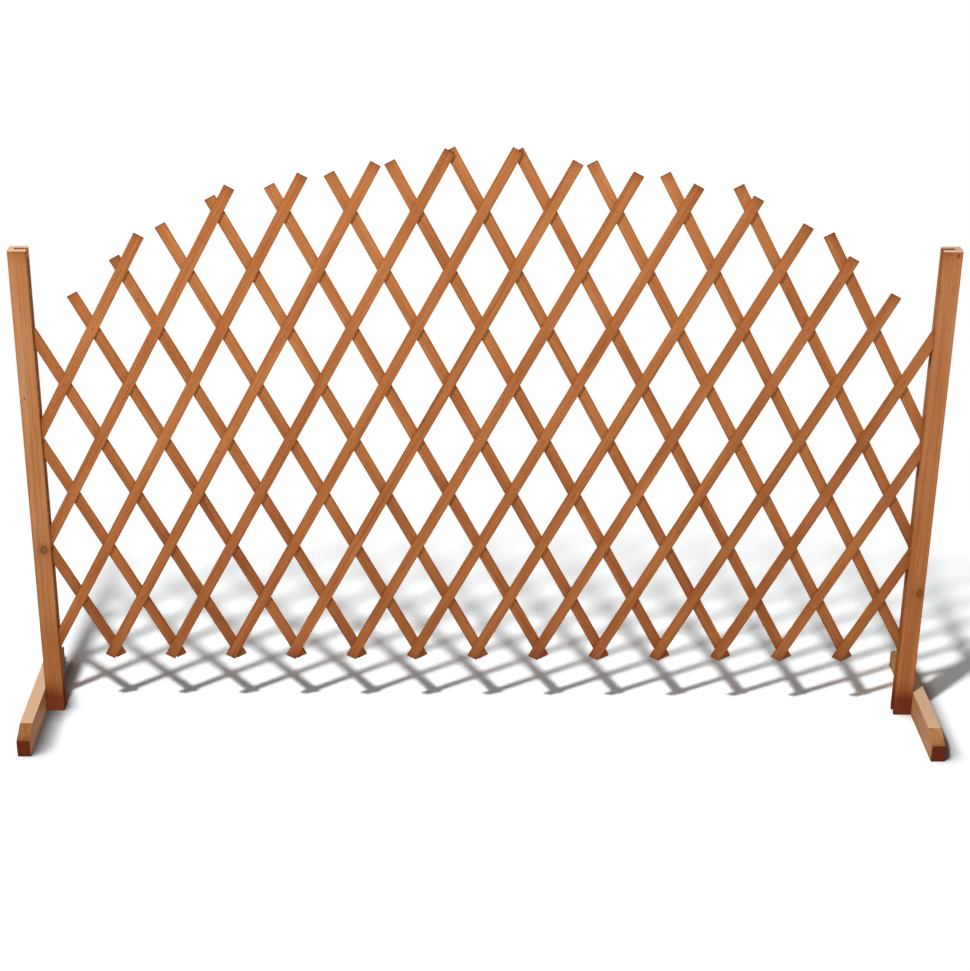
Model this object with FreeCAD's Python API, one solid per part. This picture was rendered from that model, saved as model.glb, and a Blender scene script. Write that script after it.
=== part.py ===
import FreeCAD, Part
import math
import os

# Expanding wooden trellis with an arched top, between two grooved posts on foot blocks.
# X runs across the trellis, Y from front to back, Z up. All lengths are in millimetres.
# The origin is midway between the posts, on the ground.

# The whole trellis at its full spread
outer_width = 1800.0        # across the outer faces of the posts
post_height = 1000.0
row_rise = 116.0            # height from one row of crossings to the next
first_row_height = 145.0    # lowest row of crossings above the ground

# How many of each
columns = 14                # spaces between the crossings of the lowest row
post_rows = 6               # the slat ends in a post reach up to this row
arch_rows = 9               # rows up to the crown of the arch

# Slats
slat_width = 22.0
slat_thickness = 5.0
slat_arris = 0.8            # radius along the long edges
bottom_tail = 24.0          # past the lowest pin of a free end
groove_tail = 6.0           # past the last pin of an end that runs in a groove
layer_gap = 0.3             # between the front and the rear layer

# Top cut of each front slat, from the left, as a share of the arch's rows. The slats
# after these end in the right post. The rear slats are the same, seen in a mirror.
arch_shares = (0.844, 0.933, 0.955, 0.976, 0.999, 1.001, 0.978,
               0.957, 0.935, 0.913, 0.862, 0.801, 0.731)

# Pins at the crossings
pin_diameter = 1.8
pin_head_diameter = 4.2
pin_head_height = 0.7
pin_button_diameter = 3.2   # clinched front end
pin_button_height = 0.5
pin_edge = 0.2              # bevel round the head and the button
snug = 0.05                 # round a fastener in the wood that grips it
turning = 0.1               # round a pin or nail in the wood that turns on it
head_gap = 0.15             # between a head and the slat that turns under it
point_share = 0.25          # blunt end of a fastener's point, as a share of its shank

# Posts
web_thickness = 12.0        # wood behind the groove
groove_depth = 24.0
groove_wall = 8.0
groove_clearance = 1.05     # between a pin's head and the groove's wall
end_clearance = 1.0         # between a slat's turning end and the web
post_arris = 1.0

# Pivot nails, driven from behind through the post and the lowest slat end
nail_diameter = 2.6
nail_head_diameter = 5.2
nail_head_height = 1.0
nail_point = 2.0            # length of the tapered point
nail_bite = 6.0             # depth in the front wall, point included

# Feet
foot_width = 26.0
foot_height = 53.0
foot_length = 396.0
foot_bevel_height = 18.0
foot_bevel_length = 45.0
foot_arris = 1.0

# Foot screws, from the foot's outer side into the post's two groove walls
screw_diameter = 3.6
screw_head_diameter = 7.2
screw_head_rim = 0.4
screw_head_height = 3.0
screw_bite = 19.0           # depth in the post
screw_point = 4.0
screw_low = 17.0            # height of the lower screw
screw_spacing = 21.0        # rise to the upper screw
recess_width = 1.0
recess_span = 4.2
recess_depth = 1.6

# Worked out from the sizes above
stack = 2 * slat_thickness + layer_gap
groove_width = stack + 2 * (pin_head_height + head_gap + groove_clearance)
post_depth = groove_width + 2 * groove_wall
post_width = web_thickness + groove_depth
end_reach = math.hypot(slat_width / 2, groove_tail)
pivot_inset = web_thickness + end_clearance + end_reach
pitch = (outer_width - 2 * pivot_inset) / columns
lean = math.atan2(pitch / 2, row_rise)
step = math.hypot(pitch / 2, row_rise)
front_face = -stack / 2
rear_face = stack / 2
post_outer_x = outer_width / 2
wall_middle = groove_width / 2 + groove_wall / 2
parallel = math.cos(math.radians(1))
first_climber = post_rows // 2 - 1
slat_count = first_climber + columns

os.makedirs("parts", exist_ok=True)


def at(x, y, z):
    return FreeCAD.Vector(x, y, z)


def save(name, solids):
    """Writes one solid, or a group of separate ones, as a sub-part."""
    shape = solids[0] if len(solids) == 1 else Part.makeCompound(solids)
    shape.exportStep("parts/" + name + ".step")


def mirrored(shape):
    return shape.mirror(at(0, 0, 0), at(1, 0, 0))


def crossing(column, row):
    """The place of a crossing, in the plane between the two layers."""
    return at((column - columns / 2) * pitch, 0, first_row_height + row * row_rise)


def turned(points, centre, axis):
    """A round solid from (radius, distance along the axis) points, starting on the axis."""
    outline = Part.makePolygon([at(r, 0, d) for r, d in points + points[:1]])
    solid = Part.Face(outline).revolve(at(0, 0, 0), at(0, 0, 1), 360)
    solid.Placement = FreeCAD.Placement(centre, FreeCAD.Rotation(at(0, 0, 1), axis))
    return solid


def rounded(shape, radius, chosen):
    """Rounds the edges for which the test given holds at their middle and direction."""
    edges = []
    for edge in shape.Edges:
        ends = [vertex.Point for vertex in edge.Vertexes]
        if len(ends) == 2 and chosen((ends[0] + ends[1]) / 2, ends[1] - ends[0]):
            edges.append(edge)
    return shape.makeFillet(radius, edges)


def runs_along(direction, axis):
    return abs(direction.normalize().dot(axis)) > parallel


def reach(index):
    """Lowest crossing, highest crossing and top cut of a front slat, all in rows."""
    start = index - first_climber
    low_row = max(0, -2 * start)
    if index < len(arch_shares):
        top = arch_shares[index] * arch_rows
        return low_row, math.floor(top - slat_width / 2 / step), top
    top_row = 2 * (columns - start)
    return low_row, top_row, top_row


def pinned_rows(index):
    """Rows where a front slat crosses a rear slat, which is a front slat in a mirror."""
    start = index - first_climber
    low_row, high_row, top = reach(index)
    rows = []
    for row in range(low_row, high_row + 1):
        mirror_index = columns - (start + row) + first_climber
        if 0 <= mirror_index < slat_count:
            rear_low, rear_high, rear_top = reach(mirror_index)
            if rear_low <= row <= rear_high:
                rows.append(row)
    return rows


def slat(index, rows, hole_radius, outer_face):
    """A slat that stands on its lowest crossing, its length along Z, before it leans."""
    low_row, high_row, top = reach(index)
    in_left_post = index <= first_climber
    in_right_post = index >= len(arch_shares)
    below = groove_tail if in_left_post else bottom_tail
    above = (top - low_row) * step + (groove_tail if in_right_post else 0)
    bar = Part.makeBox(slat_width, slat_thickness, below + above,
                       at(-slat_width / 2, outer_face, -below))
    bar = rounded(bar, slat_arris, lambda middle, run: runs_along(run, at(0, 0, 1)))
    holes = [Part.makeCylinder(hole_radius, slat_thickness,
                               at(0, outer_face, (row - low_row) * step), at(0, 1, 0))
             for row in rows]
    if index == first_climber:
        holes.append(Part.makeCylinder(nail_diameter / 2 + turning, slat_thickness,
                                       at(0, outer_face, 0), at(0, 1, 0)))
    return bar.cut(holes)


def placed_slat(index, shape):
    start = index - first_climber
    low_row = reach(index)[0]
    turn = FreeCAD.Rotation(at(0, 1, 0), math.degrees(lean))
    shape.Placement = FreeCAD.Placement(crossing(start + low_row / 2, low_row), turn)
    return shape


def pin(column, row):
    """A pin driven from behind, its front end clinched over to a small button."""
    head = pin_head_diameter / 2
    button = pin_button_diameter / 2
    shank = pin_diameter / 2
    head_low = rear_face + head_gap
    points = [(0, front_face - pin_button_height),
              (button - pin_edge, front_face - pin_button_height),
              (button, front_face - pin_button_height + pin_edge),
              (button, front_face), (shank, front_face),
              (shank, head_low), (head, head_low),
              (head, head_low + pin_head_height - pin_edge),
              (head - pin_edge, head_low + pin_head_height),
              (0, head_low + pin_head_height)]
    return turned(points, crossing(column, row), at(0, 1, 0))


def pivot_nail(clearance):
    """The nail behind the lowest slat end, head flush with the back of the post."""
    shank = nail_diameter / 2 + clearance
    head = nail_head_diameter / 2 + clearance
    depth = post_depth - groove_wall + nail_bite
    tip = shank if clearance else shank * point_share
    points = [(0, 0), (head, 0), (head, nail_head_height), (shank, nail_head_height),
              (shank, depth - nail_point), (tip, depth), (0, depth)]
    start = crossing(0, 0) + at(0, post_depth / 2, 0)
    return turned(points, start, at(0, -1, 0))


def foot_screw(side, height, clearance):
    """A countersunk screw from the left foot's outer face towards the post."""
    shank = screw_diameter / 2 + clearance
    head = screw_head_diameter / 2 + clearance
    length = foot_width + screw_bite
    tip = shank if clearance else shank * point_share
    points = [(0, 0), (head, 0), (head, screw_head_rim), (shank, screw_head_height),
              (shank, length - screw_point), (tip, length), (0, length)]
    start = at(-post_outer_x - foot_width, side * wall_middle, height)
    return turned(points, start, at(1, 0, 0))


def screw_places():
    return [(-1, screw_low + screw_spacing), (1, screw_low)]


def screws():
    """The two foot screws, each with a cross recess in its head."""
    made = []
    for side, height in screw_places():
        screw = foot_screw(side, height, 0)
        start = at(-post_outer_x - foot_width, side * wall_middle, height)
        for wide, tall in ((recess_span, recess_width), (recess_width, recess_span)):
            corner = start - at(0, wide / 2, tall / 2)
            screw = screw.cut(Part.makeBox(recess_depth, wide, tall, corner))
        made.append(screw)
    return made


def post():
    """The left post: a square section with a groove in its inner face."""
    body = Part.makeBox(post_width, post_depth, post_height,
                        at(-post_outer_x, -post_depth / 2, 0))
    body = rounded(body, post_arris, lambda middle, run: runs_along(run, at(0, 0, 1)))
    groove = Part.makeBox(groove_depth, groove_width, post_height,
                          at(-post_outer_x + web_thickness, -groove_width / 2, 0))
    holes = [foot_screw(side, height, snug) for side, height in screw_places()]
    return body.cut([groove, pivot_nail(snug)] + holes)


def foot():
    """The left foot block, bevelled at both ends of its top."""
    half = foot_length / 2
    shoulder = foot_height - foot_bevel_height
    outline = [(-half, 0), (half, 0), (half, shoulder),
               (half - foot_bevel_length, foot_height),
               (foot_bevel_length - half, foot_height), (-half, shoulder)]
    outer = -post_outer_x - foot_width
    wire = Part.makePolygon([at(outer, y, z) for y, z in outline + outline[:1]])
    block = Part.Face(wire).extrude(at(foot_width, 0, 0))
    block = rounded(block, foot_arris,
                    lambda middle, run: middle.z > shoulder / 2
                    and abs(middle.x - outer - foot_width / 2) > foot_width / 4)
    return block.cut([foot_screw(side, height, snug) for side, height in screw_places()])


for side, shape_of_side in (("left", lambda shape: shape), ("right", mirrored)):
    save(side + "_post", [shape_of_side(post())])
    save(side + "_foot", [shape_of_side(foot())])
    save(side + "_foot_screws", [shape_of_side(screw) for screw in screws()])
    save(side + "_pivot_nail", [shape_of_side(pivot_nail(0))])

for index in range(slat_count):
    rows = pinned_rows(index)
    start = index - first_climber
    front = slat(index, rows, pin_diameter / 2 + snug, front_face)
    save("front_slat_%02d" % (index + 1), [placed_slat(index, front)])
    save("slat_pins_%02d" % (index + 1), [pin(start + row / 2, row) for row in rows])
    rear = slat(index, rows, pin_diameter / 2 + turning, rear_face - slat_thickness)
    rear = mirrored(placed_slat(index, rear))
    save("rear_slat_%02d" % (slat_count - index), [rear])

print("pitch", round(pitch, 3), "lean", round(math.degrees(lean), 3), "step", round(step, 3))
print("pins", sum(len(pinned_rows(index)) for index in range(slat_count)))
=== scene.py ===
import bpy
import math
import numpy as np
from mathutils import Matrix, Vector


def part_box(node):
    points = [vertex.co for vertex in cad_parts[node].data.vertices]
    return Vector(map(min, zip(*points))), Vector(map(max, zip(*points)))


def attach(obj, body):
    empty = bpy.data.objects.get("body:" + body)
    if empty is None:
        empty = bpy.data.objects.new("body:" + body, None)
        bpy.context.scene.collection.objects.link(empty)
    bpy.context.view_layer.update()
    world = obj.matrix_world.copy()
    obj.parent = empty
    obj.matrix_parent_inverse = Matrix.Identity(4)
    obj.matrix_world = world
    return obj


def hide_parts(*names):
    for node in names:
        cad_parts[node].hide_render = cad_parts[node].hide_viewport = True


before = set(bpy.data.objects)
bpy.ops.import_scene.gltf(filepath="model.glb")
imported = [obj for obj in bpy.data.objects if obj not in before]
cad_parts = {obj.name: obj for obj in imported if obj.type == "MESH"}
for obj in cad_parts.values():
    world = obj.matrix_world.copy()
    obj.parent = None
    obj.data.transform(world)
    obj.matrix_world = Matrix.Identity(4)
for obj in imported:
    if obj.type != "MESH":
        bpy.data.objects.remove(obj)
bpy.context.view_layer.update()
print("frame loaded,", len(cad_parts), "nodes")


# Shader helpers

def addNode(tree, kind, inputs=None, **settings):  # one node; sockets are linked, other values are set
    node = tree.nodes.new(kind)
    for key, value in settings.items():
        setattr(node, key, value)
    for name, value in (inputs or {}).items():
        if isinstance(value, bpy.types.NodeSocket):
            tree.links.new(value, node.inputs[name])
        else:
            node.inputs[name].default_value = value
    return node


def calc(tree, operation, a, b=0.0, c=0.0):  # one number from up to three
    return addNode(tree, "ShaderNodeMath", {0: a, 1: b, 2: c}, operation=operation).outputs[0]


def times(tree, a, b):
    return calc(tree, "MULTIPLY", a, b)


def minus(tree, a, b):
    return calc(tree, "SUBTRACT", a, b)


def mulAdd(tree, a, b, c):  # a times b, plus c
    return calc(tree, "MULTIPLY_ADD", a, b, c)


def vec(tree, operation, a, b=(0.0, 0.0, 0.0)):  # vector sums and products
    return addNode(tree, "ShaderNodeVectorMath", {0: a, 1: b}, operation=operation).outputs[0]


def length(tree, a):
    return addNode(tree, "ShaderNodeVectorMath", {0: a}, operation="LENGTH").outputs["Value"]


def split(tree, vector):
    node = addNode(tree, "ShaderNodeSeparateXYZ", {0: vector})
    return node.outputs[0], node.outputs[1], node.outputs[2]


def merge(tree, x, y, z):
    return addNode(tree, "ShaderNodeCombineXYZ", {0: x, 1: y, 2: z}).outputs[0]


def objectPoint(tree):
    return addNode(tree, "ShaderNodeTexCoord").outputs["Object"]


def axis(tree, index):  # x, y or z of the object coordinates
    return split(tree, objectPoint(tree))[index]


def within(tree, part, half, centre=0.0):  # how far inside a face that lies half from the centre
    return minus(tree, half, calc(tree, "ABSOLUTE", minus(tree, part, centre)))


def ease(tree, value, start, end, low=0.0, high=1.0):  # smooth step from low to high
    return addNode(tree, "ShaderNodeMapRange", {"Value": value, "From Min": start, "From Max": end,
                                                "To Min": low, "To Max": high},
                   interpolation_type="SMOOTHSTEP").outputs[0]


def noise(tree, vector, scale, detail, rough, output=0):  # about 0.5, with a scale for each axis
    node = addNode(tree, "ShaderNodeTexNoise", {"Vector": vec(tree, "MULTIPLY", vector, scale),
                                                "Scale": 1.0, "Detail": detail, "Roughness": rough})
    return node.outputs[output]


def blendColour(tree, amount, a, b, mode="MIX"):
    node = addNode(tree, "ShaderNodeMix", {"Factor": amount}, data_type="RGBA", blend_type=mode)
    for socket, value in ((node.inputs[6], a), (node.inputs[7], b)):
        if isinstance(value, bpy.types.NodeSocket):
            tree.links.new(value, socket)
        else:
            socket.default_value = (*value, 1.0)
    return node.outputs[2]


def ramp(tree, value, stops):  # a colour band; the stops are in order, from 0 to 1
    node = addNode(tree, "ShaderNodeValToRGB", {"Fac": value})
    band = node.color_ramp.elements
    for place, _ in stops[1:-1]:
        band.new(place)
    for element, (place, colour) in zip(band, stops):
        element.position = place
        element.color = (*colour, 1.0)
    return node.outputs[0]


def bump(tree, shader, height, strength, distance):
    node = addNode(tree, "ShaderNodeBump", {"Height": height, "Strength": strength,
                                            "Distance": distance})
    tree.links.new(node.outputs[0], shader.inputs["Normal"])


def newMaterial(name):
    material = bpy.data.materials.new(name)
    material.use_nodes = True
    tree = material.node_tree
    return material, tree, tree.nodes["Principled BSDF"]


def attribute(name):  # the vector that a mesh stores under this name
    return lambda tree: addNode(tree, "ShaderNodeAttribute", attribute_name=name).outputs["Vector"]


# Stained softwood

stain = {
    "pale": (0.500, 0.194, 0.056),
    "middle": (0.374, 0.120, 0.026),
    "deep": (0.215, 0.052, 0.008),
    "bare": (0.540, 0.270, 0.105),
    "knot": (0.190, 0.072, 0.014),
    "bark": (0.085, 0.022, 0.006),
    "ends": (0.130, 0.018, 0.002),
    # painted shade for the foot of the post
    "postBaseShade": (0.155, 0.024, 0.002),
    "rosy": (0.96, 0.88, 0.98),  # multiplies the colour in large patches
    "ringGap": 0.0031,        # metres
    "ringDepth": 0.26,        # how much of the step from pale to deep the rings take
    "streaks": 0.60,
    "fibres": 0.38,
    "blotches": 0.85,
    "rub": 0.15,              # how far the arrises are rubbed back to bare wood
    "edgeShade": 0.10,         # painted shade: how much darker the sawn sides and arrises are
    "endShare": 0.9,          # how dark the end grain has drunk the stain
    "soak": 0.42,             # and the first centimetre beside it
    "gloss": 0.26,
    "edgeGloss": 0.02,        # the sawn sides are matt
    "roughness": 0.50,
}
grain = {
    # A noise is its scale along and across the log, its detail and its roughness. A share is where a
    # smooth step starts and ends, and then its lowest and highest value where they aren't 0 and 1.
    "bend": ((2.6, 22.0, 22.0), 3.0, 0.55),       # wanders the rings and the streaks
    "bendBy": (0.0, 0.011, 0.011),
    "ring": ((0.0, 0.3), (0.10, 0.02), (0.55, 0.22), (0.88, 1.0), (1.0, 0.35)),  # darkness over a ring
    "ringMean": 0.35,
    "ringPace": 0.43,         # of the noise that makes one ring stronger than the next
    "ringStrength": (0.3, 0.7, 0.35, 1.25),
    "pullBy": 0.0085,         # metres by which a knot shifts the rings
    "pullFade": -0.22,        # and how soon that fades beside it
    "streak": ((2.4, 150.0, 150.0), 3.0, 0.6),
    "fibre": ((9.0, 900.0, 900.0), 3.0, 0.62),
    "blotch": ((6.5, 38.0, 38.0), 3.0, 0.55),
    "warm": ((3.1, 17.0, 17.0), 2.0, 0.5),        # where the rosy patches are
    "warmShare": (0.42, 0.68, 0.0, 0.60),
    "dash": ((60.0, 1500.0, 1500.0), 1.0, 0.5),   # short dark pores
    "dashShare": (0.66, 0.74),
    "dashDepth": 0.16,
    "soakFade": -90.0,        # per metre from the end grain
    "halo": (2.6, 0.9, 0.0, 0.42),                # round a knot, by the gap to it over its size
    "eye": (1.12, 0.80),      # the knot itself
    "eyeShare": 0.8,
    "eyeRings": 3.3,
    "eyeDepth": 0.6,
    "barkInside": (0.62, 0.92),                   # the dark line round it
    "barkOutside": (1.25, 0.98),
    "barkShare": 0.5,
    "pinRing": (0.0036, 0.0016),                  # metres from a pin
    "pinShare": (0.3, 0.6, 0.05, 0.2),            # by the blotches
    "rub": ((38.0, 160.0, 160.0), 3.0, 0.6),
    "rubShare": (0.50, 0.66),
    "endFace": (0.0009, 0.0003),                  # metres from the end
    "endRings": 0.6,
    "matt": (0.05, 0.32),     # by the wear, which takes in the thin sides
    "rough": {"late": -0.08, "end": 0.22, "matt": 0.25},
    "streakRough": 0.35,
    "relief": {"fibre": 0.8, "late": 0.55, "streak": 0.9, "dash": -0.6, "eye": 0.5},
    "bump": (0.55, 0.00035),  # its strength, and the depth in metres
}


# Solid wood: growth rings are circles round the pith, which lies along the first axis of log. The
# distance from the pith, bent by a slow noise and pulled in beside a knot, is divided by the ring gap,
# and its fraction darkens towards the late wood. Fibres and streaks are noises drawn out along the log.
# Each argument from log to tone is a function that adds its own nodes. The blotches are looked up at
# patch, knot is the gap to a knot over its size, fromEnd is metres from the end grain, edge is 1 on an
# arris, and tone is an extra darkness. A pin leaves a dark ring where there is a place, which is
# measured along the piece from its first pin. A wash is a share and the colour laid on with it.
def woodShader(name, log, patch, knot, fromEnd, edge, tone, look,
               place=None, pinStep=0.0, matt=None, washes=()):
    material, tree, shader = newMaterial(name)
    log, patch, knotGap = log(tree), patch(tree), length(tree, knot(tree))
    fromEnd, edge, tone = fromEnd(tree), edge(tree), tone(tree)

    bend = noise(tree, log, *grain["bend"], output="Color")
    bend = vec(tree, "MULTIPLY", vec(tree, "SUBTRACT", bend, (0.5, 0.5, 0.5)), grain["bendBy"])
    bent = vec(tree, "ADD", log, bend)
    pull = calc(tree, "EXPONENT", times(tree, calc(tree, "POWER", knotGap, 2.0), grain["pullFade"]))
    radius = length(tree, vec(tree, "MULTIPLY", bent, (0.0, 1.0, 1.0)))
    radius = mulAdd(tree, pull, grain["pullBy"], radius)
    phase = calc(tree, "DIVIDE", radius, look["ringGap"])
    late = ramp(tree, calc(tree, "FRACT", phase), [(at, (grey,) * 3) for at, grey in grain["ring"]])
    band = addNode(tree, "ShaderNodeTexNoise", {"W": times(tree, phase, grain["ringPace"]),
                                                "Scale": 1.0, "Detail": 1.0}, noise_dimensions="1D")
    late = times(tree, late, ease(tree, band.outputs[0], *grain["ringStrength"]))

    streak = noise(tree, bent, *grain["streak"])
    fibre = noise(tree, log, *grain["fibre"])
    blotch = noise(tree, patch, *grain["blotch"])
    dash = ease(tree, noise(tree, log, *grain["dash"]), *grain["dashShare"])
    soak = calc(tree, "EXPONENT", times(tree, fromEnd, grain["soakFade"]))
    value = 0.5  # 0 is pale, 0.5 the middle stain and 1 deep
    for part, mean, depth in ((late, grain["ringMean"], look["ringDepth"]),
                              (streak, 0.5, look["streaks"]),
                              (fibre, 0.5, look["fibres"]),
                              (blotch, 0.5, look["blotches"])):
        value = mulAdd(tree, minus(tree, part, mean), depth, value)
    value = calc(tree, "ADD", value, tone)
    # Darker by the end grain and in pores, and painted shade on the sawn sides and arrises.
    for part, depth in ((soak, look["soak"]), (dash, grain["dashDepth"]), (edge, look["edgeShade"])):
        value = mulAdd(tree, part, depth, value)
    colour = ramp(tree, value, [(0.0, look["pale"]), (0.5, look["middle"]), (1.0, look["deep"])])
    warm = ease(tree, noise(tree, patch, *grain["warm"]), *grain["warmShare"])
    colour = blendColour(tree, warm, colour, look["rosy"], "MULTIPLY")

    colour = blendColour(tree, ease(tree, knotGap, *grain["halo"]), colour, look["deep"])
    eye = ease(tree, knotGap, *grain["eye"])
    eyeRings = calc(tree, "FRACT", times(tree, knotGap, grain["eyeRings"]))
    knotColour = blendColour(tree, times(tree, eyeRings, grain["eyeDepth"]), look["knot"], look["deep"])
    colour = blendColour(tree, times(tree, eye, grain["eyeShare"]), colour, knotColour)
    bark = times(tree, ease(tree, knotGap, *grain["barkInside"]),
                 ease(tree, knotGap, *grain["barkOutside"]))
    colour = blendColour(tree, times(tree, bark, grain["barkShare"]), colour, look["bark"])

    if place:
        along, across, _ = split(tree, place(tree))
        along = calc(tree, "WRAP", along, pinStep / 2, -pinStep / 2)
        spot = ease(tree, length(tree, merge(tree, along, across, 0.0)), *grain["pinRing"])
        pinShare = times(tree, spot, ease(tree, blotch, *grain["pinShare"]))
        colour = blendColour(tree, pinShare, colour, look["bark"])
    rub = ease(tree, noise(tree, patch, *grain["rub"]), *grain["rubShare"])
    rub = times(tree, times(tree, rub, edge), look["rub"])
    colour = blendColour(tree, rub, colour, look["bare"])
    endFace = ease(tree, fromEnd, *grain["endFace"])
    endColour = blendColour(tree, times(tree, late, grain["endRings"]), look["ends"], look["bark"])
    colour = blendColour(tree, times(tree, endFace, look["endShare"]), colour, endColour)
    for wash in washes:
        share, washColour = wash(tree)
        colour = blendColour(tree, share, colour, washColour)
    tree.links.new(colour, shader.inputs["Base Color"])

    matt = matt(tree) if matt else ease(tree, edge, *grain["matt"])
    gloss = mulAdd(tree, matt, look["edgeGloss"] - look["gloss"], look["gloss"])
    tree.links.new(gloss, shader.inputs["Specular IOR Level"])
    rough = mulAdd(tree, minus(tree, streak, 0.5), grain["streakRough"], look["roughness"])
    parts = {"fibre": fibre, "late": late, "streak": streak, "dash": dash, "eye": eye,
             "end": endFace, "matt": matt}
    for part, depth in grain["rough"].items():
        rough = mulAdd(tree, parts[part], depth, rough)
    tree.links.new(rough, shader.inputs["Roughness"])
    relief = 0.0
    for part, height in grain["relief"].items():
        relief = mulAdd(tree, parts[part], height, relief)
    bump(tree, shader, relief, *grain["bump"])
    return material


print("wood shader ready")


# Slats

slatLook = {
    "width": 0.022,
    "lean": 28.301,           # degrees from upright
    "pinStep": 0.131748,      # between crossings, along the slat
    "tail": {"free": 0.024, "groove": 0.006},  # from the lower end to the first pin
    "grooveFrom": 0.87,       # a slat that starts further out than this stands in a groove
    "arris": (0.0005, 0.0013),
    "arrisPace": 0.035,       # metres over which it changes
    "arrisMost": 0.8,         # of half the thickness
    "endArris": 0.0004,
    "endInset": 2.5,          # the flat middle of the end begins this many end arrises in
    "station": 0.005,         # between the outlines that make up a slat
    "narrowing": 0.00018,     # unevenness of the sawn width
    "widthPace": 0.09,
    "cutSlope": 0.012,        # the end cuts aren't quite square
    "cutReach": 0.02,
    "pith": (0.022, 0.085),   # nearest and furthest that the pith lies from the slat
    "pithAside": 0.01,
    "logRange": 40,           # each slat is cut from its own place along the log
    "patchRange": 9,          # and has its own blotches
    "knotStretch": 1.5,
    "farKnot": 9.0,           # the gap to a knot, over its size, where there is none
    "toneSpread": 0.045,      # from slat to slat
    "toneDrift": 0.08,        # along a slat
    "tonePace": 0.3,
    "heightTone": {1: 0.22, -1: 0.42},  # front and rear: darker by this for each metre below this height, a painted shade, more on the rear layer behind the front
    "toneHeight": 0.76,       # this height
    "seed": 41,
    # A knot is its place along the slat, its place across and its size.
    "knots": {"rear_slat_09": [(0.41, 0.003, 0.0018)], "front_slat_12": [(0.33, 0.005, 0.0016)],
              "rear_slat_05": [(0.88, -0.003, 0.0017)], "front_slat_04": [(0.52, -0.005, 0.0015)]},
}
outlineLook = {
    "cornerPoints": 4,
    "flatWide": (0.06, 0.2, 0.35, 0.5, 0.65, 0.8, 0.94),  # points between two corners
    "flatThin": (0.25, 0.5, 0.75),
    "wearFrom": 0.8,          # of the way from the middle of a wide face to its arris
    "wearRise": 3,
    "thinWear": 0.35,         # all over the thin sides, where an arris has 1
}


# A smooth random curve along s: five sine waves of falling height, with random phase and pace.
def drift(s, spacing, rng):
    pace = 2 * np.pi / (spacing * rng.uniform(0.6, 1.9, 5))
    phase = rng.uniform(0, 2 * np.pi, 5)
    height = 1 / np.arange(1, 6)
    return (np.sin(s[:, None] * pace + phase) * height).sum(1) / height.sum()


# The slat's outline at each station: a rectangle of half width a and half depth b whose four corners
# are quarter circles, each with its own radius. Flats between the corners carry a few more points.
# The wear is 1 on the corners, fades beside them on the wide faces and is even on the thin sides.
def slatOutline(a, b, radii, look):
    angles = np.radians(np.linspace(0, 90, look["cornerPoints"]))
    corners = []
    for turn, (sx, sy) in enumerate(((1, 1), (-1, 1), (-1, -1), (1, -1))):
        r = radii[:, turn][:, None]
        arc = angles + turn * np.pi / 2
        corners.append(np.stack([sx * (a - r) + r * np.cos(arc), sy * (b - r) + r * np.sin(arc)], -1))
    parts, wear = [], []
    for turn in range(4):
        wide = turn % 2 == 0
        share = np.array(look["flatWide" if wide else "flatThin"])
        here, there = corners[turn][:, -1:, :], corners[(turn + 1) % 4][:, :1, :]
        parts += [corners[turn], here + (there - here) * share[None, :, None]]
        nearness = np.abs(share - 0.5) * 2
        flat = np.clip((nearness - look["wearFrom"]) * look["wearRise"], 0, 1)
        wear += [np.ones(len(angles)), flat if wide else np.full(len(share), look["thinWear"])]
    return np.concatenate(parts, 1), np.concatenate(wear)


# Faces of a closed tube of rings by points, with one many-sided face at each end.
def tubeFaces(rings, points):
    i, j = np.meshgrid(np.arange(rings - 1), np.arange(points), indexing="ij")
    k = (j + 1) % points
    sides = np.stack([i * points + j, i * points + k, (i + 1) * points + k, (i + 1) * points + j], -1)
    ends = [np.arange(points)[::-1], (rings - 1) * points + np.arange(points)]
    return sides.reshape(-1, 4), ends


# The faces in the order that turns their normals outward: away from the line through the middle of
# the points along the given direction.
def facingOut(verts, sides, ends, along):
    corners = verts[sides]
    facing = np.cross(corners[:, 1] - corners[:, 0], corners[:, 3] - corners[:, 0])
    gap = corners.mean(1) - verts.mean(0)
    gap = gap - (gap @ along)[:, None] * along
    if (facing * gap).sum() < 0:
        return sides[:, ::-1], [end[::-1] for end in ends]
    return sides, ends


def storeVector(mesh, name, values):
    layer = mesh.attributes.new(name, "FLOAT_VECTOR", "POINT")
    layer.data.foreach_set("vector", values.astype(np.float32).ravel())


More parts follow.
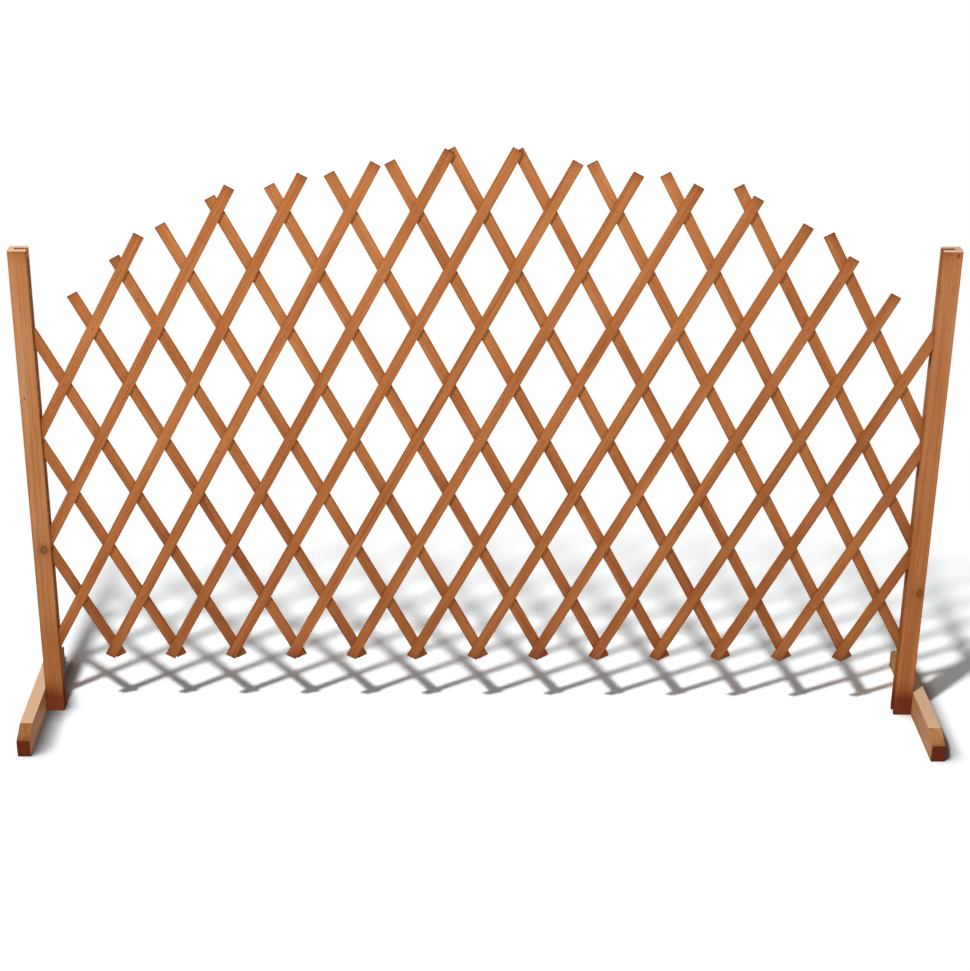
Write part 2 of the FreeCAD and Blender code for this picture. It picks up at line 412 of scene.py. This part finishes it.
# A slat is a tube of outlines along its own line: point = bottom + run * along + q * across + d * back,
# where run grows with the station s and is skewed a little near both ends by the slope of the cut.
def makeSlat(node, rises, look, rng):
    low, high = (np.array(corner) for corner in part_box(node))
    lean = math.radians(look["lean"])
    along = np.array([rises * math.sin(lean), 0.0, math.cos(lean)])
    across = np.array([math.cos(lean), 0.0, -rises * math.sin(lean)])
    half = look["width"] / 2
    inset = np.array([half * math.cos(lean), 0.0, half * math.sin(lean)])
    bottom, top = low + inset, high - inset
    if rises < 0:
        bottom[0], top[0] = top[0], bottom[0]
    bottom[1] = top[1] = (low[1] + high[1]) / 2
    span = float(np.dot(top - bottom, along))
    depth = (high[1] - low[1]) / 2

    e = look["endArris"]
    turnIn = np.radians([0, 30, 60, 90])
    nearEnd, endPinch = e * (1 - np.cos(turnIn)), e * (1 - np.sin(turnIn))
    middle = np.linspace(e, span - e, int(span / look["station"]))[1:-1]
    s = np.concatenate([[0.0], nearEnd, middle, (span - nearEnd)[::-1], [span]])
    endInset = [look["endInset"] * e]
    pinch = np.concatenate([endInset, endPinch, np.zeros(len(middle)), endPinch[::-1], endInset])
    widths = half - look["narrowing"] * (0.5 + 0.5 * drift(s, look["widthPace"], rng))
    least, most = look["arris"]
    radii = np.stack([least + (most - least) * (0.5 + 0.5 * drift(s, look["arrisPace"], rng)) ** 2
                      for _ in range(4)], 1)
    a, b = (widths - pinch)[:, None], (depth - pinch)[:, None]
    outline, edge = slatOutline(a, b, np.minimum(radii, b * look["arrisMost"]), outlineLook)
    q, d = outline[..., 0], outline[..., 1]

    cutLow, cutHigh = rng.uniform(-look["cutSlope"], look["cutSlope"], 2)
    nearLow = np.clip(1 - s / look["cutReach"], 0, 1)[:, None]
    nearHigh = np.clip(1 - (span - s) / look["cutReach"], 0, 1)[:, None]
    run = s[:, None] + nearLow * np.abs(cutLow * (q + half))
    run = run - nearHigh * np.abs(cutHigh * (q + half))
    back = np.array([0.0, 1.0, 0.0])
    where = bottom + run[..., None] * along + q[..., None] * across + d[..., None] * back
    verts = where.reshape(-1, 3)
    sides, ends = facingOut(verts, *tubeFaces(*q.shape), along)
    mesh = bpy.data.meshes.new(node.replace("_slat_", "Lath"))
    mesh.from_pydata(verts.tolist(), [], sides.tolist() + [end.tolist() for end in ends])
    mesh.polygons.foreach_set("use_smooth", [True] * len(sides) + [False, False])

    turn, away = rng.uniform(0, 2 * np.pi), rng.uniform(*look["pith"])
    logY = q * math.cos(turn) - d * math.sin(turn) + away
    logZ = q * math.sin(turn) + d * math.cos(turn) + look["pithAside"]
    logX = run + rng.uniform(0, look["logRange"])
    storeVector(mesh, "log", np.stack([logX, logY, logZ], -1))
    outer = -low[0] if rises > 0 else high[0]
    tail = look["tail"]["groove" if outer > look["grooveFrom"] else "free"]
    place = np.stack([run - tail, q, d], -1)
    storeVector(mesh, "place", place)
    shift = rng.uniform(0, look["patchRange"])
    storeVector(mesh, "blotch", place + np.array([shift, 0, shift]))
    knotAt = np.full(place.shape, look["farKnot"])
    for at, side, size in look["knots"].get(node, []):
        gap = np.stack([(run - at) / (size * look["knotStretch"]), (q - side) / size, 0 * q], -1)
        nearer = np.linalg.norm(gap, axis=-1) < np.linalg.norm(knotAt, axis=-1)
        knotAt[nearer] = gap[nearer]
    storeVector(mesh, "knot", knotAt)
    tone = rng.uniform(-1, 1) * look["toneSpread"]
    tone = tone + look["toneDrift"] * drift(s, look["tonePace"], rng)
    # painted shade: darker lower down, more on the rear layer
    tone = tone[:, None] + look["heightTone"][rises] * (look["toneHeight"] - where[..., 2])
    fromEnd = np.minimum(s, span - s)[:, None] + 0 * q
    storeVector(mesh, "wear", np.stack([fromEnd, edge[None, :] + 0 * q, tone], -1))
    piece = bpy.data.objects.new(mesh.name, mesh)
    bpy.context.scene.collection.objects.link(piece)
    return piece


def wearPart(index):  # from the end, on the arris, or tone, which carries the painted shade by height
    return lambda tree: split(tree, attribute("wear")(tree))[index]


slatWood = woodShader("stainedLath", attribute("log"), attribute("blotch"), attribute("knot"),
                      wearPart(0), wearPart(1), wearPart(2), stain,
                      place=attribute("place"), pinStep=slatLook["pinStep"])
dice = np.random.default_rng(slatLook["seed"])
for layer, rises in (("front", 1), ("rear", -1)):
    for number in range(1, 17):
        node = "%s_slat_%02d" % (layer, number)
        piece = makeSlat(node, rises, slatLook, dice)
        piece.data.materials.append(slatWood)
        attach(piece, node)
        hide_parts(node)
print("slats made")


# Posts and feet

postLook = {
    "left": {"pith": (0.047, 0.031), "top": (0.84, 0.54, 0.34),
             "knots": [(0.3725, -0.8778, 0.0068), (0.70, -0.8900, 0.0014)],
             "stain": dict(stain, pale=(0.540, 0.285, 0.145), middle=(0.385, 0.142, 0.038),
                           blotches=0.45, gloss=0.18)},
    "right": {"pith": (-0.038, 0.044), "top": (0.92, 0.64, 0.43),
              "knots": [(0.2822, 0.8900, 0.0062), (0.9900, 0.8913, 0.0022)],
              "stain": dict(stain, pale=(0.545, 0.250, 0.100), middle=(0.396, 0.137, 0.034),
                            blotches=0.45, gloss=0.18)},
    "centre": 0.882,          # of the section, from the middle of the trellis
    "halfWidth": 0.018,
    "halfDepth": 0.01505,
    "height": 1.0,
    "arris": (0.0022, 0.0006),                # metres in from the faces
    "sawn": (0.0009, 0.0003),
    "tone": (0.0, 1.0, 0.06, -0.12),          # by the height, darkest at the ground
    "postBaseShade": (0.100, 0.036, 0.0, 0.92),        # painted shade, by the height, which wavers
    "waver": ((90.0, 90.0, 14.0), 3.0, 0.5),
    "waverBy": 0.022,
    "paintedTopLight": (0.9975, 0.9995, 0.0, 0.92),   # painted top light in the top colour, by the height
    "knotStretch": 1.3,
}
footLook = {
    "left": {"top": (0.88, 0.57, 0.345),
             "stain": dict(stain, pale=(0.55, 0.290, 0.125), middle=(0.390, 0.170, 0.058),
                           deep=(0.240, 0.072, 0.015), endShare=0.98, gloss=0.08)},
    # painted light: the right foot's top and stain are paler than the left's, as it lies further from
    # the key lamp
    "right": {"top": (0.93, 0.63, 0.42),
              "stain": dict(stain, pale=(0.69, 0.390, 0.185), middle=(0.530, 0.255, 0.102),
                            deep=(0.340, 0.115, 0.030), endShare=0.98, gloss=0.08)},
    "centre": 0.913,          # of the section, from the middle of the trellis
    "length": 0.396,
    "height": 0.053,
    "width": 0.026,
    "arris": (0.0022, 0.0006),                # these as on the post
    "tone": (0.02, 0.0, 0.02, 0.16),
    # painted top light in the top colour, by the height
    "paintedTopLight": (0.0515, 0.0529, 0.0, 0.85),
    "logStart": 3.0,          # along the log, to either side, so that the feet differ
    "pith": (0.052, 0.018),
    "knot": (-0.105, 0.004, 0.0035),          # on the left foot, turned round on the right
    "knotStretch": 1.3,
}


def reordered(order, shift):  # object coordinates, put in another order and then moved
    return lambda tree: vec(tree, "ADD", merge(tree, *[axis(tree, index) for index in order]), shift)


# The gap to the nearest spot over its size. A spot is its place along, its place across and its size.
def nearestKnot(spots, order, stretch):
    def build(tree):
        parts = split(tree, objectPoint(tree))
        best = None
        for along, across, size in spots:
            gapAlong = calc(tree, "DIVIDE", minus(tree, parts[order[0]], along), size * stretch)
            gapAcross = calc(tree, "DIVIDE", minus(tree, parts[order[1]], across), size)
            gap = merge(tree, length(tree, merge(tree, gapAlong, gapAcross, 0.0)), 0.0, 0.0)
            best = gap if best is None else vec(tree, "MINIMUM", best, gap)
        return best
    return build


def postMaterial(side, sign):
    look, own = postLook, postLook[side]
    centre = sign * look["centre"]

    def fromEnd(tree):
        z = axis(tree, 2)
        return calc(tree, "MINIMUM", z, minus(tree, look["height"], z))

    def edge(tree):
        x, y, _ = split(tree, objectPoint(tree))
        gaps = within(tree, x, look["halfWidth"], centre), within(tree, y, look["halfDepth"])
        return ease(tree, calc(tree, "MAXIMUM", *gaps), *look["arris"])

    def tone(tree):
        return ease(tree, axis(tree, 2), *look["tone"])

    def matt(tree):  # the faces towards the lattice and the foot are left as sawn
        return ease(tree, within(tree, axis(tree, 0), look["halfWidth"], centre), *look["sawn"])

    def postBaseShade(tree):  # painted shade on the foot of the post, up to a wavering line
        waver = noise(tree, objectPoint(tree), *look["waver"])
        height = mulAdd(tree, waver, look["waverBy"], axis(tree, 2))
        return ease(tree, height, *look["postBaseShade"]), stain["postBaseShade"]

    # painted top light: the top of the post in its top colour
    def paintedTopLight(tree):
        return ease(tree, axis(tree, 2), *look["paintedTopLight"]), own["top"]

    log = reordered((2, 0, 1), (0.0, -centre + own["pith"][0], own["pith"][1]))
    knot = nearestKnot(own["knots"], (2, 0), look["knotStretch"])
    return woodShader(side + "PostWood", log, log, knot, fromEnd, edge, tone, own["stain"],
                      matt=matt, washes=(postBaseShade, paintedTopLight))


def footMaterial(side, sign):
    look, own = footLook, footLook[side]
    centre = sign * look["centre"]

    def fromEnd(tree):
        return within(tree, axis(tree, 1), look["length"] / 2)

    def edge(tree):
        x, _, z = split(tree, objectPoint(tree))
        gapUp = calc(tree, "MINIMUM", z, minus(tree, look["height"], z))
        gap = calc(tree, "MAXIMUM", within(tree, x, look["width"] / 2, centre), gapUp)
        return ease(tree, gap, *look["arris"])

    def tone(tree):
        return ease(tree, axis(tree, 2), *look["tone"])

    # painted top light: the top of the foot in its top colour
    def paintedTopLight(tree):
        return ease(tree, axis(tree, 2), *look["paintedTopLight"]), own["top"]

    pithX, pithZ = look["pith"]
    log = reordered((1, 0, 2), (look["logStart"] * sign, -centre + pithX, pithZ))
    knotY, knotX, knotSize = look["knot"]
    knot = nearestKnot([(knotY * sign, centre + knotX, knotSize)], (1, 0), look["knotStretch"])
    return woodShader(side + "FootWood", log, log, knot, fromEnd, edge, tone, own["stain"],
                      washes=(paintedTopLight,))


def dress(node, material):  # gives a frame piece its material
    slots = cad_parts[node].data.materials
    slots.clear()
    slots.append(material)


for side, sign in (("left", -1), ("right", 1)):
    dress(side + "_post", postMaterial(side, sign))
    dress(side + "_foot", footMaterial(side, sign))
print("posts and feet finished")


# Pins, nails and screws

metalLook = {
    "pins": {"colour": (0.40, 0.150, 0.055), "tarnish": (0.26, 0.080, 0.024),
             "metallic": 0.30, "roughness": 0.45},
    "fasteners": {"colour": (0.56, 0.54, 0.50), "tarnish": (0.28, 0.22, 0.16),
                  "metallic": 0.9, "roughness": 0.34},
    "patch": ((420.0, 420.0, 420.0), 4.0, 0.6),  # noises as in the wood
    "patchShare": (0.42, 0.62),
    "patchRough": 0.2,
    "scratch": ((5200.0, 900.0, 240.0), 2.0, 0.5),
    "scratchRough": 0.15,
    "bump": (0.3, 0.00005),
}


def metalShader(name, look, shared):  # plated steel, dulled in patches and finely scratched
    material, tree, shader = newMaterial(name)
    point = objectPoint(tree)
    patch = ease(tree, noise(tree, point, *shared["patch"]), *shared["patchShare"])
    scratch = noise(tree, point, *shared["scratch"])
    colour = blendColour(tree, patch, look["colour"], look["tarnish"])
    tree.links.new(colour, shader.inputs["Base Color"])
    rough = mulAdd(tree, patch, shared["patchRough"], look["roughness"])
    rough = mulAdd(tree, scratch, shared["scratchRough"], rough)
    tree.links.new(rough, shader.inputs["Roughness"])
    shader.inputs["Metallic"].default_value = look["metallic"]
    bump(tree, shader, scratch, *shared["bump"])
    return material


pinMetal = metalShader("dippedSteel", metalLook["pins"], metalLook)
fastenerMetal = metalShader("platedSteel", metalLook["fasteners"], metalLook)
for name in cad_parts:
    if name.startswith("slat_pins"):
        dress(name, pinMetal)
    elif name.endswith("_screws") or name.endswith("_nail"):
        dress(name, fastenerMetal)
print("fasteners finished")


# Floor, light and camera

stageLook = {
    "floorHalf": 26.0,
    "floorColour": (0.80, 0.80, 0.80),  # for all rays but the camera's
    "white": 1.37,            # the floor colour that the camera sees in the middle
    "cool": (0.970, 1.010, 1.022),  # multiplies it, so that the shadows come out neutral
    "softShare": 0.19,        # of the floor's light that comes from all round
    "softReach": 0.06,        # metres, of the soft shadow beside whatever stands on the floor
    "softFrom": (-0.75, -0.25, 0.6),  # the floor looks this way for what casts it
    "softDepth": (0.3, 0.95, 0.04, 1.0),
    "softSamples": 8,
    "fadeBack": (0.15, 1.15),  # metres behind the trellis over which the floor turns pure white
    "fadeRound": (1.5, 2.6),  # the same, all round it
    "roundShape": (0.75, 1.0, 0.0),  # an oval, wider than it is deep
    "skyStrength": {"light": 0.03, "glossy": 0.45},  # it is 1 where the camera sees it
}
lights = {
    "key": {"place": (-0.95, -1.95, 3.75), "aim": (0.1, 0.15, 0.3),
            "size": (0.24, 0.24), "power": 140.0},
    "front": {"place": (0.3, -4.8, 0.9), "aim": (0.0, 0.0, 0.5),
              "size": (3.5, 1.5), "power": 55.0},
    "left": {"place": (-3.9, -2.4, 0.55), "aim": (0.0, 0.0, 0.4),
             "size": (2.2, 0.9), "power": 14.0},
    "right": {"place": (3.9, -2.4, 0.55), "aim": (0.0, 0.0, 0.4),
              "size": (2.2, 0.9), "power": 24.0},
    "back": {"place": (-0.4, 4.4, 0.5), "aim": (0.0, 0.0, 0.5),
             "size": (3.0, 0.8), "power": 105.0},
}


# The camera sees a floor whose colour grows as the key lamp's light on it falls off, so that it is as
# white far out as in the middle: white over the sum of the soft share and of the rest divided by the
# cube of the lamp's distance, which is 1 in the middle. Behind and far out it fades to a white glow.
def makeFloor(look):
    half = look["floorHalf"]
    mesh = bpy.data.meshes.new("studioFloor")
    mesh.from_pydata([(-half, -half, 0), (half, -half, 0), (half, half, 0), (-half, half, 0)], [],
                     [(0, 1, 2, 3)])
    floor = bpy.data.objects.new("studioFloor", mesh)
    bpy.context.scene.collection.objects.link(floor)
    material, tree, shader = newMaterial("paleFloor")
    tree.nodes.remove(shader)
    ray = addNode(tree, "ShaderNodeLightPath")
    seen = calc(tree, "MAXIMUM", ray.outputs["Is Camera Ray"], ray.outputs["Is Transmission Ray"])
    lamp = lights["key"]["place"]
    point = objectPoint(tree)
    distance = length(tree, vec(tree, "SUBTRACT", point, lamp))
    reach = calc(tree, "DIVIDE", distance, math.dist(lamp, (0, 0, 0)))
    keyLight = calc(tree, "DIVIDE", 1.0 - look["softShare"], calc(tree, "POWER", reach, 3.0))
    level = calc(tree, "DIVIDE", look["white"], calc(tree, "ADD", keyLight, look["softShare"]))
    # Painted shadow: ambient occlusion darkens the colour that the camera sees beside whatever stands
    # on the floor.
    near = addNode(tree, "ShaderNodeAmbientOcclusion", {"Distance": look["softReach"],
                                                        "Normal": merge(tree, *look["softFrom"])},
                   samples=look["softSamples"]).outputs["AO"]
    level = times(tree, level, ease(tree, near, *look["softDepth"]))
    level = vec(tree, "MULTIPLY", merge(tree, level, level, level), look["cool"])
    colour = blendColour(tree, ray.outputs["Is Camera Ray"], look["floorColour"], level)
    matte = addNode(tree, "ShaderNodeBsdfDiffuse", {"Color": colour}).outputs[0]
    glow = addNode(tree, "ShaderNodeEmission", {"Color": (1, 1, 1, 1), "Strength": 1.0}).outputs[0]
    behind = ease(tree, split(tree, point)[1], *look["fadeBack"])
    oval = length(tree, vec(tree, "MULTIPLY", point, look["roundShape"]))
    around = ease(tree, oval, *look["fadeRound"])
    share = times(tree, calc(tree, "MAXIMUM", behind, around), seen)
    mixed = addNode(tree, "ShaderNodeMixShader", {0: share, 1: matte, 2: glow}).outputs[0]
    tree.links.new(mixed, tree.nodes["Material Output"].inputs["Surface"])
    mesh.materials.append(material)


def makeSky(look):
    world = bpy.data.worlds.new("studio")
    bpy.context.scene.world = world
    world.use_nodes = True
    tree = world.node_tree
    ray = addNode(tree, "ShaderNodeLightPath")
    strength = times(tree, ray.outputs["Is Glossy Ray"], look["skyStrength"]["glossy"])
    strength = calc(tree, "MAXIMUM", strength, look["skyStrength"]["light"])
    strength = calc(tree, "MAXIMUM", strength, ray.outputs["Is Camera Ray"])
    backdrop = tree.nodes["Background"]
    backdrop.inputs["Color"].default_value = (1, 1, 1, 1)
    tree.links.new(strength, backdrop.inputs["Strength"])


def makeLight(name, look):
    lamp = bpy.data.lights.new(name, "AREA")
    lamp.shape = "RECTANGLE"
    lamp.size, lamp.size_y = look["size"]
    lamp.energy = look["power"]
    holder = bpy.data.objects.new(name, lamp)
    bpy.context.scene.collection.objects.link(holder)
    holder.location = look["place"]
    x, y, z = np.array(look["place"]) - np.array(look["aim"])
    holder.rotation_euler = (math.atan2(math.hypot(x, y), z), 0.0, math.atan2(x, -y))


cameraLook = {
    "place": (-0.0832, -3.5809, 2.0896),
    "turn": (66.209, 0.287, 1.080),
    "lens": 72.92,
    "shift": 0.0875,
    "clip": (0.05, 80.0),
}


def makeCamera(look):
    eye = bpy.data.cameras.new("photoCamera")
    eye.lens = look["lens"]
    eye.shift_x = look["shift"]
    eye.clip_start, eye.clip_end = look["clip"]
    holder = bpy.data.objects.new("photoCamera", eye)
    bpy.context.scene.collection.objects.link(holder)
    holder.location = look["place"]
    holder.rotation_euler = [math.radians(angle) for angle in look["turn"]]
    bpy.context.scene.camera = holder


makeFloor(stageLook)
makeSky(stageLook)
for name, look in lights.items():
    makeLight(name, look)
makeCamera(cameraLook)
bpy.context.scene.view_settings.view_transform = "Standard"
print("stage, lights and camera set")
